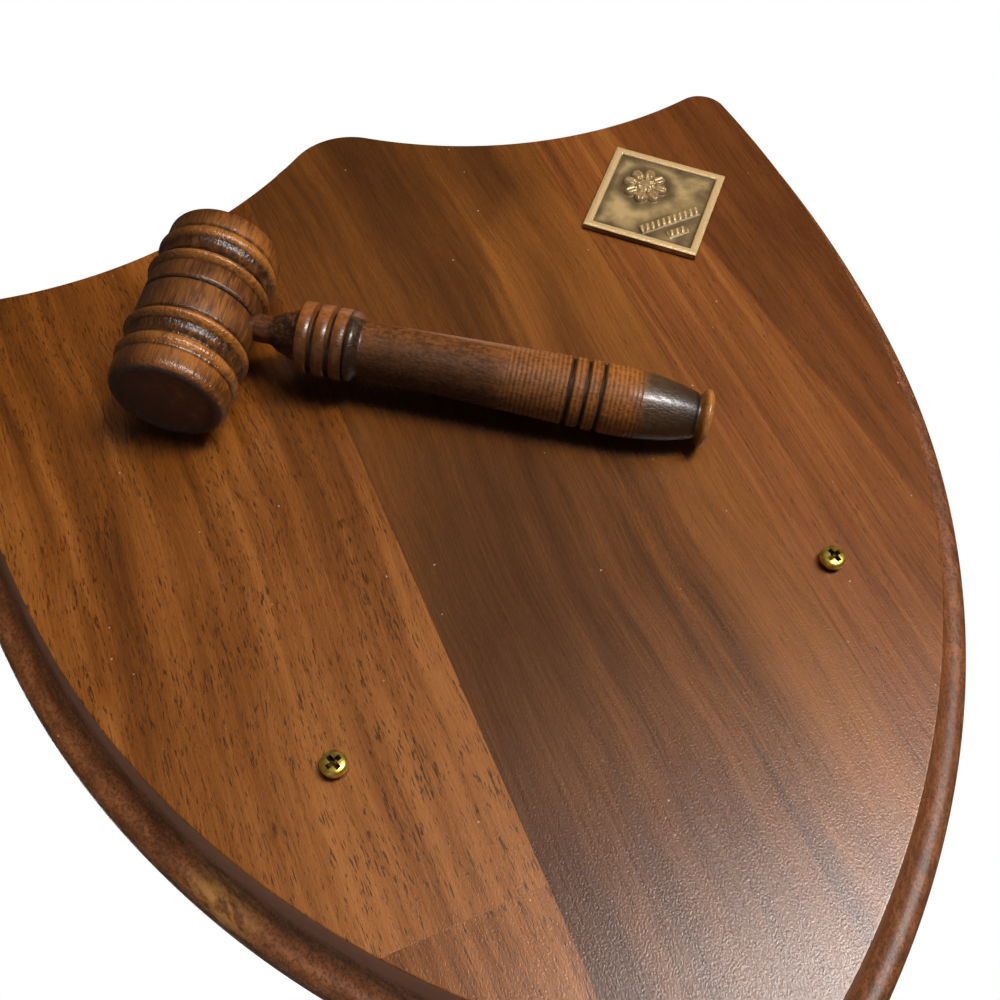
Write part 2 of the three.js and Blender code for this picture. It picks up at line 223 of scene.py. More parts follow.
# %% [markdown]
# ## Room and light
#
# The photograph shows nothing behind the plaque but white, and its shadows are deep and warm. So
# the air is white where the camera looks at it, but gives almost no light. A pale floor lies
# well below. In the photograph one soft source, in front and to the right, does everything. Here it
# is split in two, so that each half can be aimed: the sheen lamp is seen only in the lacquer and
# the metal, as the broad sheen at the lower right and the glints, while the key lamp gives the
# light and the dark shadow under the handle. A wider and weaker room lamp fills the shadows. A
# weak panel at the lower left draws the grey line along the cove, a lamp behind lights the
# hanging side, and the white table's glow lights the edge from behind.

# %% Pale floor and the white table's glow
def flat_sheet(name, width, matrix, steps=12):
    """A square sheet of paper, made of a grid of faces."""
    ticks = [width * (i / steps - 0.5) for i in range(steps + 1)]
    points = [(x, y, 0) for y in ticks for x in ticks]
    row = steps + 1
    faces = [(j * row + i, j * row + i + 1, (j + 1) * row + i + 1, (j + 1) * row + i)
             for j in range(steps) for i in range(steps)]
    mesh = bpy.data.meshes.new(name)
    mesh.from_pydata(points, [], faces)
    sheet = bpy.data.objects.new(name, mesh)
    sheet.matrix_world = matrix
    scene.collection.objects.link(sheet)
    return sheet


def paper_finish(name, glow):
    paper = Finish(name)
    px, py, pz = paper.place()
    fleck = paper.noise((px, py, pz), 4, scale=0.02)
    white = paper.mix(fleck, (0.86, 0.86, 0.86), (0.9, 0.9, 0.9))
    return paper.wear(Base_Color=white, Roughness=0.9,
                      Emission_Color=(1.0, 0.97, 0.95), Emission_Strength=glow)


floor = flat_sheet("pale_floor", 12.0, Matrix.Translation((0, 0, -0.90)))
floor.data.materials.append(paper_finish("pale_paper", 0.9))
floor.visible_diffuse = False
floor.visible_glossy = False
table_glow = flat_sheet("white_table_glow", 3.0,
                        Matrix.Translation((0, 0.002, 0)) @ Matrix.Rotation(QUARTER_TURN, 4, "X"))
table_glow.data.materials.append(paper_finish("table_paper", 0.32))
table_glow.visible_camera = False
table_glow.visible_shadow = False
table_glow.visible_glossy = False
print("paper floor", [round(v, 2) for v in floor.dimensions], "metres")


# %% Lamps
def soft_lamp(name, place, aim, width, height, watts, colour):
    """A rectangular lamp at place (mm), facing aim (mm)."""
    data = bpy.data.lights.new(name, "AREA")
    data.shape = "RECTANGLE"
    data.size = width
    data.size_y = height
    data.energy = watts
    data.color = colour
    lamp = bpy.data.objects.new(name, data)
    scene.collection.objects.link(lamp)
    lamp.location = Vector(place) * MM
    lamp.rotation_euler = (Vector(aim) - Vector(place)).to_track_quat("-Z", "Y").to_euler()
    return lamp


sheen_lamp = soft_lamp("sheen_lamp", (310, -765, -190), (10, -19, -20), 0.36, 0.15, 8.8,
                       (1.0, 0.985, 0.98))
key_lamp = soft_lamp("key_lamp", (310, -765, -40), (10, -19, 0), 0.36, 0.15, 6.2,
                     (1.0, 0.95, 0.90))
room_lamp = soft_lamp("room_lamp", (200, -800, 240), (0, -19, 0), 0.6, 0.6, 2.9,
                      (1.0, 0.93, 0.83))
soft_lamp("left_panel", (-520, -260, -420), (-80, -10, -20), 0.5, 0.3, 0.2, (0.92, 0.95, 1.0))
soft_lamp("back_lamp", (-400, 800, 400), (0, 0, 0), 0.5, 0.5, 6.0, (1.0, 0.96, 0.92))
sheen_lamp.visible_diffuse = False
key_lamp.visible_glossy = False
room_lamp.visible_glossy = False

# %% Air of the room
world = bpy.data.worlds.new("room_air")
world.use_nodes = True
air = world.node_tree.nodes
seen = air.new("ShaderNodeLightPath")
shade = air.new("ShaderNodeMix")
shade.data_type = "RGBA"
shade.inputs[6].default_value = (0.035, 0.031, 0.028, 1)
shade.inputs[7].default_value = (1.0, 1.0, 1.0, 1)
world.node_tree.links.new(seen.outputs["Is Camera Ray"], shade.inputs[0])
world.node_tree.links.new(shade.outputs[2], air["Background"].inputs["Color"])
scene.world = world
print("air:", world.name, "with", len(air), "nodes")

# %% [markdown]
# ## Making a piece
#
# Every piece below is points and faces worked out in Python. Its faces are shaded smooth, and an
# edge is kept crisp only where two faces meet at more than a given angle, as a turned bead has a
# soft back but a sharp groove. Then the piece gets its finish, is hung on the body it rides on,
# and the solid it stands for is hidden.

# %% Points and faces to a piece
def closed_object(name, points, faces, weld=False):
    """An object from points in millimetres, its faces turned outwards."""
    mesh = bpy.data.meshes.new(name)
    mesh.from_pydata([tuple(float(c) * MM for c in p) for p in points], [], faces)
    work = bmesh.new()
    work.from_mesh(mesh)
    if weld:
        bmesh.ops.remove_doubles(work, verts=work.verts, dist=1e-7)
    bmesh.ops.recalc_face_normals(work, faces=work.faces)
    work.to_mesh(mesh)
    work.free()
    made = bpy.data.objects.new(name, mesh)
    scene.collection.objects.link(made)
    return made


def smooth_with_edges(mesh, crisp):
    """Smooth faces, with an edge where two of them meet at more than crisp degrees."""
    mesh.shade_smooth()
    mesh.set_sharp_from_angle(angle=math.radians(crisp))


def make_piece(name, points, faces, finish, slot, node, crisp=35, matrix=Matrix()):
    """A piece that stands for one CAD node."""
    piece = closed_object(name, points, faces, weld=True)
    smooth_with_edges(piece.data, crisp)
    piece.matrix_world = matrix
    piece.data.materials.append(finish)
    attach(piece, "root")
    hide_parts(node)
    print(name, len(piece.data.vertices), "points", len(piece.data.polygons), "faces")
    return piece


print("piece maker ready")


# %% Cutting and lofting
def cut_away(piece, cutters, crisp=35):
    """Subtracts closed cutter meshes from a piece for good, and removes the cutters."""
    for cutter in cutters:
        step = piece.modifiers.new("cut", "BOOLEAN")
        step.operation = "DIFFERENCE"
        step.solver = "EXACT"
        step.object = cutter
    graph = bpy.context.evaluated_depsgraph_get()
    graph.update()
    cut = bpy.data.meshes.new_from_object(piece.evaluated_get(graph))
    piece.modifiers.clear()
    old = piece.data
    name = old.name
    piece.data = cut
    bpy.data.meshes.remove(old)
    cut.name = name
    smooth_with_edges(cut, crisp)
    for cutter in cutters:
        bpy.data.objects.remove(cutter)
    print("cut", name, "now", len(cut.polygons), "faces")


def loft(rings):
    """Points and faces of a tube through equal rings, closed at both ends."""
    count = len(rings[0])
    points = [p for ring in rings for p in ring]
    faces = []
    for r in range(len(rings) - 1):
        for i in range(count):
            a, b = r * count + i, r * count + (i + 1) % count
            faces.append((a, b, b + count, a + count))
    faces.append(tuple(reversed(range(count))))
    faces.append(tuple(range((len(rings) - 1) * count, len(rings) * count)))
    return points, faces


def round_ticks(steps):
    """Cosine and sine at equal steps round a full circle."""
    return [(math.cos(i / steps * FULL_TURN), math.sin(i / steps * FULL_TURN))
            for i in range(steps)]


print("mesh helpers ready")

# %% [markdown]
# ## The shield board
#
# The board is three walnut staves glued edge to edge, sawn to a shield and routed all round with
# an ogee: a cove just under the face, then a round that meets the side. The outline is six arcs on
# each side that run into one another: tip, lower flank, flank, corner, scoop and peak. A loft of
# that outline through the profile gives a clean cove for the lamp to run along, which the
# coarser solid would break into facets.

# %% Sizes of the board
board_width = 228.6
board_height = 259.0
board_thickness = 19.0
flank_radius = 304.6
widest_drop = 65.2
flank_end_angle = math.radians(10.2)
scoop_radius = 101.5
scoop_offset = 73.2
peak_arris_radius = 16.6
corner_arris_radius = 7.0
tip_arris_radius = 2.4
back_easing = 0.8
arris_easing = 0.25
flat_margin = 0.3
cove_width = 6.1
cove_depth = 9.9
round_width = 3.1
round_depth = 3.2
edge_width = cove_width + round_width
print("board", board_width, "x", board_height, "x", board_thickness, "mm, edge", edge_width, "mm")


# %% Outline of the board
def arc_points(centre, radius, start, end, steps, side):
    """Points on an arc with the board's outward direction at each of them."""
    made = []
    for i in range(steps):
        angle = start + (end - start) * i / steps
        way = Vector((math.cos(angle), math.sin(angle)))
        made.append((centre + way * radius, way * side))
    return made


def direction(start, end):
    return math.atan2(end.y - start.y, end.x - start.x)


def circles_meet(a, radius_a, b, radius_b):
    """Where two circles cross, on the right."""
    between = b - a
    gap = between.length
    along = (gap ** 2 + radius_a ** 2 - radius_b ** 2) / (2 * gap)
    across = math.sqrt(radius_a ** 2 - along ** 2)
    unit = between / gap
    foot = a + unit * along
    normal = Vector((-unit.y, unit.x)) * across
    return max(foot + normal, foot - normal, key=lambda p: p.x)


def half_outline():
    """From the lowest point of the tip, up the right side, to the top of the peak."""
    peak_radius = peak_arris_radius + edge_width
    corner_radius = corner_arris_radius + edge_width
    tip_radius = tip_arris_radius + edge_width
    top = board_height / 2
    flank = Vector((board_width / 2 - flank_radius, top - widest_drop))
    tip = Vector((0, tip_radius - top))
    peak = Vector((0, top - peak_radius))
    down = Vector((math.cos(flank_end_angle), -math.sin(flank_end_angle)))
    to_tip = tip - flank
    reach = flank_radius - tip_radius
    miss = (to_tip - down * reach).length_squared
    lower_radius = tip_radius + miss / (2 * (reach - to_tip.dot(down)))
    lower = flank + down * (flank_radius - lower_radius)
    scoop_rise = math.sqrt((scoop_radius + peak_radius) ** 2 - scoop_offset ** 2)
    scoop = Vector((scoop_offset, peak.y + scoop_rise))
    corner = circles_meet(flank, flank_radius - corner_radius, scoop, scoop_radius + corner_radius)
    tip_end = direction(lower, tip)
    corner_start = direction(flank, corner)
    from_corner = direction(scoop, corner)
    from_peak = direction(scoop, peak) + FULL_TURN
    return (arc_points(tip, tip_radius, -QUARTER_TURN, tip_end, 14, 1)
            + arc_points(lower, lower_radius, tip_end, -flank_end_angle, 70, 1)
            + arc_points(flank, flank_radius, -flank_end_angle, corner_start, 40, 1)
            + arc_points(corner, corner_radius, corner_start, from_corner + math.pi, 24, 1)
            + arc_points(scoop, scoop_radius, from_corner + FULL_TURN, from_peak, 44, -1)
            + arc_points(peak, peak_radius, from_peak - math.pi, QUARTER_TURN, 20, 1)
            + arc_points(peak, peak_radius, QUARTER_TURN, math.pi, 1, 1))


right_half = half_outline()
left_half = [(Vector((-p.x, p.y)), Vector((-n.x, n.y))) for p, n in reversed(right_half[1:-1])]
outline = right_half + left_half
print("outline of", len(outline), "points, from", round(outline[0][0].y, 1), "mm at the tip")


# %% Profile of the routed edge
def edge_profile():
    """Pairs of inset from the outline and depth below the face."""
    profile = [(edge_width + arris_easing + flat_margin, 0.0), (edge_width + arris_easing, 0.0)]
    for i in range(1, 4):
        turn = i / 4 * QUARTER_TURN
        profile.append((edge_width + arris_easing * (1 - math.sin(turn)),
                        arris_easing * (1 - math.cos(turn))))
    for i in range(0, 17):
        turn = i / 16 * QUARTER_TURN
        inset = round_width + cove_width * math.cos(turn)
        depth = cove_depth * math.sin(turn)
        if depth > arris_easing:
            profile.append((inset, depth))
    for i in range(1, 9):
        turn = i / 8 * QUARTER_TURN
        profile.append((round_width * (1 - math.sin(turn)),
                        cove_depth + round_depth * (1 - math.cos(turn))))
    profile += [(0.0, board_thickness - back_easing), (back_easing, board_thickness)]
    return profile


board_rings = [[(p.x - n.x * inset, depth - board_thickness, p.y - n.y * inset)
                for p, n in outline] for inset, depth in edge_profile()]
print("edge profile of", len(board_rings), "steps")

# %% [markdown]
# ## Walnut, three staves wide
#
# Each stave is its own piece of wood, so the pattern jumps at the glue lines: the left one is
# warm and open-pored, the middle one dark and quiet, the right one red and straight-grained. All
# three come from one pattern. The grain is noise stretched along Z, pushed sideways a little so
# that no line is quite straight, and moved to another part of the noise for every stave. Pores are
# the same idea at a finer scale, cut off so that only the darkest dashes are left. Formulas
# place the marks that make this board itself, such as its light band and its dark lines. Some of
# the tone is painted light: a dark patch below the handle is partly figure and partly painted
# shadow, and the left stave is painted lighter towards the bottom. The routed edge shows end
# grain, which drinks the stain and goes darker, with a paler, greyer cove that is a painted
# reflection, and the back is bare wood with the marks of the sander.

# %% Walnut finish for the board
seam_left = -25.9
seam_right = 49.6
joint_height = -75.5

walnut = Finish("shield_walnut")
x, y, z = walnut.place()
stave = x.above(seam_left, 0.06) + x.above(seam_right, 0.06)
is_left = x.below(seam_left, 0.06)
is_right = x.above(seam_right, 0.06)
is_middle = 1 - is_left - is_right
end_piece = is_left * z.below(joint_height, 0.08)
wander = walnut.noise((x * 0.012 + stave * 7.0, y * 0.01, z * 0.011), 2)
across = x + (wander - 0.5) * 14 * (1 - 0.6 * is_right) + stave * 137 + end_piece * 61
along = z + stave * 211 + end_piece * 90

figure = walnut.noise((across * 0.085, y * 0.085, along * 0.006), 3, 0.5, 0.35)
bands = walnut.noise((across * 0.30, y * 0.2, along * 0.012), 3, 0.55)
fibre = walnut.noise((across * 1.9, y * 1.2, along * 0.055), 4, 0.6)
threads = walnut.noise((across * 5.5, y * 3.0, along * 0.16), 3, 0.6)
clouds = walnut.noise((x * 0.03 + stave * 3.0, y * 0.03, z * 0.022), 3)
grit = walnut.noise((x * 2.8, y * 2.8, z * 2.2), 2, 0.6)
rulings = walnut.noise((x * 1.15 + stave * 9.0, y * 0.5, z * 0.007), 3, 0.75)
print("nodes for the grain:", len(walnut.tree.nodes))

# %% Pores and dust
pore_noise = walnut.noise((across * 3.4, y * 2.5, along * 0.42), 2, 0.55)
pore_field = walnut.noise((across * 0.10, y * 0.1, along * 0.03 + 40), 2)
pores = (pore_noise + 0.22 * pore_field * (0.55 + 0.45 * is_left)).above(0.735, 0.045)
dust = walnut.node("ShaderNodeTexVoronoi", None, {
    "Vector": walnut.at(x, y, z), "Scale": 0.145}, out="Distance").below(0.028, 0.012)
print("nodes with pores and dust:", len(walnut.tree.nodes))

# %% Marks that belong to this board, and a painted shadow
left_line = (x + 91.0 + 0.001 * z * z).near(0.0, 2.4) * z.above(-12, 6) * is_left
low_line = (x + 79.6 + 0.0007 * (80 - z) * (80 - z)).near(0.0, 5.0) * z.below(25, 9) * is_left
left_band = (x + 80.5 + 0.02 * z).near(0.0, 9.0) * z.below(50, 25) * is_left
heart_lines = ((x - 21.5 + 0.012 * (z + 50) + (wander - 0.5) * 6).near(0.0, 1.5)
               * z.below(-10, 14) * is_middle)
gold_edge = 17 + (0.011 * (z - 45) * (z - 45)).least(9.5 + 12 * z.above(70, 12))
gold_ragged = (wander - 0.5) * 8 + (bands - 0.5) * 16 + (grit - 0.5) * 7
gold_band = (x - gold_edge + gold_ragged).above(0.0, 4.0) * is_middle
gold_band = gold_band * (1 - 0.55 * z.above(76, 14))
top_shade = z.above(88, 18) * is_middle
# Partly dark figure in the middle stave, partly a painted shadow below the gavel's handle.
dark_figure_and_shadow = (x + 3 + (bands - 0.5) * 24).near(0.0, 52) * z.near(-2, 64) * is_middle
dark_side = (x + 15 + (wander - 0.5) * 10).below(0.0, 2.5) * z.below(-16, 24) * is_middle
red_shadow = x.near(69, 26) * z.near(25, 62) * is_right
smooth_side = (x - 75.3 + (z - 50.9) * 0.097).above(0.0, 0.6) * is_right
low_right = z.below(12, 40) * is_right
glue_line = x.near(seam_left, 0.28).most(x.near(seam_right, 0.22))
print("nodes with the board's own marks:", len(walnut.tree.nodes))

# %% Tone of the walnut, from 0 dark to 1 light
tone = (0.50
        + (0.88 - 0.12 * is_middle - 0.35 * is_right) * (figure - 0.5)
        + 0.55 * (bands - 0.5) * (1 - smooth_side * 0.6) * (1 - is_middle * 0.45)
        + 0.36 * (fibre - 0.5)
        + (0.22 + 0.10 * is_middle) * (grit - 0.5)
        + 0.75 * is_right * (1 - smooth_side * 0.85) * (rulings - 0.5)
        + 0.30 * (threads - 0.5)
        + 0.30 * (clouds - 0.5)
        # Painted light: the left stave lighter towards the bottom and darker towards the top.
        + is_left * (0.03 - 0.0018 * (z + 20))
        - 0.17 * left_line - 0.15 * low_line - 0.06 * left_band
        + 0.23 * gold_band - 0.14 * heart_lines - 0.16 * dark_side
        - 0.19 * dark_figure_and_shadow - 0.07 * top_shade
        - 0.10 * red_shadow - 0.21 * smooth_side + 0.05 * low_right
        - 0.06 * end_piece)
print("nodes with the tone:", len(walnut.tree.nodes))

# %% Colour of the show face
left_colour = walnut.ramp(tone, [
    (0.15, (0.075, 0.021, 0.003)), (0.42, (0.180, 0.0535, 0.006)),
    (0.62, (0.280, 0.0935, 0.016)), (0.90, (0.400, 0.149, 0.033))])
middle_colour = walnut.ramp(tone, [
    (0.15, (0.046, 0.0150, 0.003)), (0.42, (0.092, 0.0295, 0.005)),
    (0.62, (0.155, 0.0500, 0.007)), (0.90, (0.260, 0.0880, 0.013))])
right_colour = walnut.ramp(tone, [
    (0.15, (0.080, 0.023, 0.005)), (0.42, (0.170, 0.0500, 0.009)),
    (0.62, (0.235, 0.0750, 0.014)), (0.90, (0.320, 0.1200, 0.025))])
colour = walnut.mix(is_middle, left_colour, middle_colour)
colour = walnut.mix(is_right, colour, right_colour)
colour = walnut.mix(pores * (0.86 - 0.40 * is_middle), colour, (0.040, 0.012, 0.002))
colour = walnut.mix(glue_line * 0.35, colour, (0.035, 0.014, 0.007))
print("nodes with the face's colour:", len(walnut.tree.nodes))

# %% Stained edge with a painted reflection in the cove, bare back and the dust on top
depth = y + board_thickness
on_back = depth.above(board_thickness - 0.3, 0.2)
on_edge = depth.above(0.35, 0.3) * (1 - on_back)
edge_mottle = walnut.noise((x * 0.35, y * 0.9, z * 0.10), 4, 0.65)
edge_speck = walnut.noise((x * 1.6, y * 1.6, z * 1.6), 3, 0.65)
edge_colour = walnut.mix(edge_mottle.above(0.5, 0.22), (0.095, 0.031, 0.010),
                         (0.290, 0.100, 0.032))
edge_colour = walnut.mix(edge_speck.above(0.53, 0.06) * 0.7, edge_colour, (0.040, 0.012, 0.004))
# A paler streak on the lower-left edge, running with the grain.
pale_edge_streak = ((x + 83.5 + 0.37 * (z + 49.5)).near(0.0, 6.0) * z.near(-53, 11)
           * depth.above(7.0, 1.5) * edge_mottle.above(0.50, 0.10))
edge_colour = walnut.mix(pale_edge_streak, edge_colour, (0.42, 0.21, 0.055))
# Painted reflection: the upper part of the cove, just under the face, painted paler and greyer.
edge_colour = walnut.mix(depth.below(6.6, 1.0) * 0.8, edge_colour, (0.300, 0.140, 0.088))
colour = walnut.mix(on_edge * 0.86, colour, edge_colour)
sanding = walnut.noise((x * 0.15, y, z * 3.2), 3, 0.7)
bare = walnut.mix(sanding.above(0.5, 0.25), (0.070, 0.028, 0.011), (0.240, 0.115, 0.052))
colour = walnut.mix(on_back * 0.45, colour, bare)
colour = walnut.mix(dust * 0.55, colour, (0.62, 0.50, 0.40))
print("nodes with the edge, the back and the dust:", len(walnut.tree.nodes))

# %% Lacquer over the walnut
lacquer_ripple = walnut.noise((x * 0.6, y * 0.6, z * 0.35), 2)
skin = walnut.bump(threads * 0.3 + fibre * 0.5 + grit * 1.1 - pores * 0.12, 0.06, 0.8)
skin = walnut.bump(lacquer_ripple, 0.05, 0.25, under=skin)
board_finish = walnut.wear(
    Base_Color=colour,
    Roughness=0.22 + 0.12 * fibre + 0.04 * pores + 0.16 * on_edge + 0.34 * on_back,
    Specular_IOR_Level=0.40, Normal=skin)
print("walnut finish has", len(walnut.tree.nodes), "nodes")

# %% [markdown]
# ### Lofting and cutting the board
#
# The back carries a keyhole for a screw in the wall: a round entry, a narrow neck above it and a
# wider undercut behind the lip. The two nameplate screws sit in drilled holes. Real cuts are used
# for all of these, because they are seen from close by and a painted dark spot would not hold up.

# %% The board and its cuts
points, faces = loft(board_rings)
board = make_piece("walnut_shield", points, faces, board_finish, "walnut_board", "shield_board")


def round_slot(width, low, high, near_y, far_y, steps=24):
    """A closed slot cutter with round ends, standing along Z."""
    rim = []
    for start, middle in ((0, high), (math.pi, low)):
        for i in range(steps + 1):
            turn = start + i / steps * math.pi
            rim.append((width / 2 * math.cos(turn), middle + width / 2 * math.sin(turn)))
    rings = [[(px, level, pz) for px, pz in rim] for level in (near_y, far_y)]
    return closed_object("slot", *loft(rings))


hang = board_height / 2 - 48
entry = hang - 14
entry_width = 9.6
neck_width = 4.8
keyhole_depth = 9.6
lip = 3.6
past_back = 1.0
screw_spacing = 111.1
screw_tilt = math.radians(0.8)
screw_middle = Vector((1.2, -board_thickness, 90.3 - board_height / 2))
screw_way = Vector((math.cos(screw_tilt), 0, math.sin(screw_tilt)))
screw_places = {"screw_left": screw_middle - screw_way * screw_spacing / 2,
                "screw_right": screw_middle + screw_way * screw_spacing / 2}


def hole_cutter(place, radius=1.7, depth=14.3):
    rings = [[(place.x + radius * a, level, place.z + radius * b) for a, b in round_ticks(32)]
             for level in (place.y - 1, place.y + depth)]
    return closed_object("hole", *loft(rings))


cut_away(board, [round_slot(entry_width, entry, entry + 0.01, past_back, -keyhole_depth),
                 round_slot(neck_width, entry, hang, past_back, -keyhole_depth),
                 round_slot(entry_width, entry, hang, -lip, -keyhole_depth),
                 *[hole_cutter(p) for p in screw_places.values()]])

# %% [markdown]
# ## The turned gavel
#
# Head and handle came off a lathe, so each is a profile spun round its axis. The gavel has a frame
# of its own here: X runs along the handle, Z along the head. Its finish can then follow the axis,
# so that a burned line or a lighter bead sits at a station along it. One matrix lays the gavel on
# the board, turned and tipped so that the beads of its head and the fat of its handle touch down.

# %% Where the gavel lies
bead_radius = 13.9
rest_gap = 0.3
handle_turn = math.radians(33.7)
handle_tip = 0.064092
gavel_place = Vector((66.1 - board_width / 2, -board_thickness - bead_radius - rest_gap,
                      board_height / 2 - 66.3))
gavel_matrix = (Matrix.Translation(gavel_place * MM)
                @ Matrix.Rotation(handle_turn, 4, "Y")
                @ Matrix.Rotation(handle_tip, 4, "Z"))
print("gavel lies at", [round(v, 1) for v in gavel_place], "mm")


# %% Spinning a profile
def spin(profile, segments, axis):
    """Points and faces of a profile of (radius, station) pairs spun round X or Z."""
    rings = []
    for radius, station in profile:
        ring = [(radius * a, radius * b) for a, b in round_ticks(segments)]
        rings.append([(station, a, b) if axis == "X" else (a, b, station) for a, b in ring])
    return loft(rings)


def smooth_run(stops, steps):
    """A curve through (radius, station) stops, eased so that no corner shows."""
    made = []
    for (r0, s0), (r1, s1) in zip(stops, stops[1:]):
        for i in range(steps):
            t = i / steps
            ease = (1 - math.cos(t * math.pi)) / 2
            made.append((r0 + (r1 - r0) * ease, s0 + (s1 - s0) * t))
    return made + [stops[-1]]


def bulge(start, end, radius, rise, steps=10):
    """A bead between two stations, or a cove where the rise is negative."""
    return [(radius + rise * math.sin(i / steps * math.pi), start + (end - start) * i / steps)
            for i in range(steps + 1)]


print("lathe helpers ready")

# %% Profile of the head
head_shift = 1.5
face_radius = 10.5
half_head = ([(13.0, 6.0), (12.9, 6.35)]
             + bulge(6.7, 9.5, 12.35, 1.5)
             + bulge(10.0, 13.1, 12.95, -0.5, 8)
             + bulge(13.4, 16.2, 12.8, 0.75)
             + [(12.7, 16.8), (12.9, 17.3), (12.9, 18.6), (12.88, 20.1)]
             + [(face_radius + 2.38 * math.cos(t / 10 * QUARTER_TURN),
                 20.1 + 2.4 * math.sin(t / 10 * QUARTER_TURN)) for t in range(1, 11)]
             + [(10.1, 22.35), (9.7, 22.1), (8.0, 22.03), (5.0, 22.0), (2.0, 22.0), (0.02, 22.0)])
groove = [(13.0, head_shift - 0.9), (12.95, head_shift - 0.6), (12.3, head_shift),
          (12.95, head_shift + 0.6), (13.0, head_shift + 0.9)]
head_profile = [(r, -s) for r, s in reversed(half_head)] + groove + half_head
head_profile = [(r, s - head_shift) for r, s in head_profile]
print("head profile of", len(head_profile), "stations")

# %% Profile of the handle
shaft_start = 36.8
swell_at = 86.6
ridges_start = 69.0
ridges_end = 98.5
ridge_pitch = 1.05
ridge_depth = 0.10
line_depth = 0.55
line_half_width = 0.32
taper_start = 93.6
taper_end = 110.9
ring_width = 2.8
ring_spacing = 1.1


def shaft_radius(station):
    return 6.1 + 1.7 * min((station - shaft_start) / (swell_at - shaft_start), 1)


def taper_radius(station):
    share = (station - taper_start) / (taper_end - taper_start)
    return 7.8 - 2.5 * max(share, 0) ** 2


handle_profile = [(0.02, 2.3), (3.1, 2.3), (3.1, 12.0), (3.15, 14.5), (3.1, 16.0)]
handle_profile += smooth_run([(3.1, 16.2), (4.6, 19.4), (5.9, 22.7)], 4)
ring_at = 23.0
for ring in range(3):
    handle_profile += [(6.9, ring_at), (7.75, ring_at + 0.04), (8.0, ring_at + 0.3),
                       (8.0, ring_at + 2.5), (7.75, ring_at + 2.76), (6.9, ring_at + ring_width)]
    ring_at += ring_width
    if ring < 2:
        handle_profile += [(6.5, ring_at + 0.15), (6.5, ring_at + 0.95)]
        ring_at += ring_spacing
handle_profile += [(7.3, 33.75), (7.75, 34.0), (7.9, 34.5), (7.7, 35.2), (7.0, 36.0),
                   (6.45, 36.4), (6.15, 36.7), (6.1, 37.1)]
print("neck and rings end at", round(ring_at, 2), "mm")

# %% Shaft, taper and button
station = 37.6
line_spacing = 3.45
lines = [swell_at - line_spacing, swell_at, swell_at + line_spacing]
last_station = 110.8
while station < last_station:
    radius = shaft_radius(station) if station < taper_start else taper_radius(station)
    if ridges_start < station < ridges_end:
        ridge_turn = (station - ridges_start) / ridge_pitch * FULL_TURN
        radius -= ridge_depth * (0.5 + 0.5 * math.cos(ridge_turn))
    for line in lines:
        radius -= line_depth * min(1.0, max(0.0, 2 - abs(station - line) / line_half_width))
    handle_profile.append((radius, station))
    station += 0.2
handle_profile += [(5.3, taper_end), (5.0, 111.2), (4.9, 111.5), (4.95, 111.9)]
handle_profile += [(4.95 + 1.55 * math.sin(t / 12 * math.pi) ** 0.7, 112.1 + 2.6 * t / 12)
                   for t in range(1, 12)]
handle_profile += [(4.9, 114.66), (3.0, 114.7), (0.02, 114.7)]
print("handle profile of", len(handle_profile), "stations")

# %% [markdown]
# ### Turned, stained and burned
#
# The maker dyed the turning dark and rubbed it back, so that the stain stays in the grooves and the
# beads come up orange. Both finishes are a colour ramp along the axis, whose stops are stations in
# millimetres, broken up by streaks that run with the grain. Shade is painted on one side of the
# head and along the underside of the handle, and a painted highlight runs along the handle's top.
# The head shines all over. The handle is dull along its shaft, and only the rings, the shoulder
# and the taper keep a clear coat, worn through in fine hairs.

# %% Stains
walnut_dark = (0.030, 0.009, 0.003)
amber = (0.430, 0.152, 0.028)
black = (0.008, 0.005, 0.004)
line_black = (0.004, 0.003, 0.003)
print("stains:", walnut_dark, amber, black, line_black)

# %% Colour along the head
half_length = 22.25
head_stops = [
    (0.0, (0.150, 0.052, 0.013)), (5.8, (0.130, 0.043, 0.010)), (6.4, black), (7.2, amber),
    (9.0, amber), (9.7, black), (11.5, (0.070, 0.022, 0.005)), (13.2, black), (14.1, amber),
    (15.8, amber), (16.6, black), (17.4, (0.30, 0.100, 0.017)), (20.4, (0.16, 0.050, 0.010)),
    (21.6, (0.17, 0.052, 0.008)), (21.97, (0.085, 0.024, 0.003)),
    (half_length, (0.034, 0.010, 0.002))]
head = Finish("turned_head_stain")
hx, hy, hz = head.place()
head_wobble = head.noise((hx * 0.4, hy * 0.4, hz * 0.2), 2)
from_middle = (hz + head_shift + (head_wobble - 0.5) * 0.5).size()
head_base = head.ramp(from_middle / half_length, [(s / half_length, c) for s, c in head_stops])
print("head colour stops:", len(head_stops))

# %% Streaks, groove and painted shade on one side of the head
head_streak = head.noise((hx * 0.8, hy * 0.8, hz * 0.16), 4, 0.62)
head_ticks = head.noise((hx * 1.7, hy * 1.7, hz * 0.30), 2, 0.6)
head_hair = head.noise((hx * 4.2, hy * 4.2, hz * 0.25), 3, 0.6)
head_patch = head.noise((hx * 0.12, hy * 0.12, hz * 0.10), 3)
v_groove = hz.near(0.0, 0.75)
face_disc = from_middle.above(21.9, 0.12)
head_dark = (head_streak - 0.5) * 1.5 + (head_hair - 0.5) * 1.0 + (head_patch - 0.5) * 0.9
head_base = head.mix(head_dark.above(0.12, 0.32) * 0.65 * (1 - face_disc), head_base, walnut_dark)
head_base = head.mix((0 - head_dark).above(0.14, 0.30) * 0.35 * (1 - face_disc), head_base,
                     (0.52, 0.20, 0.035))
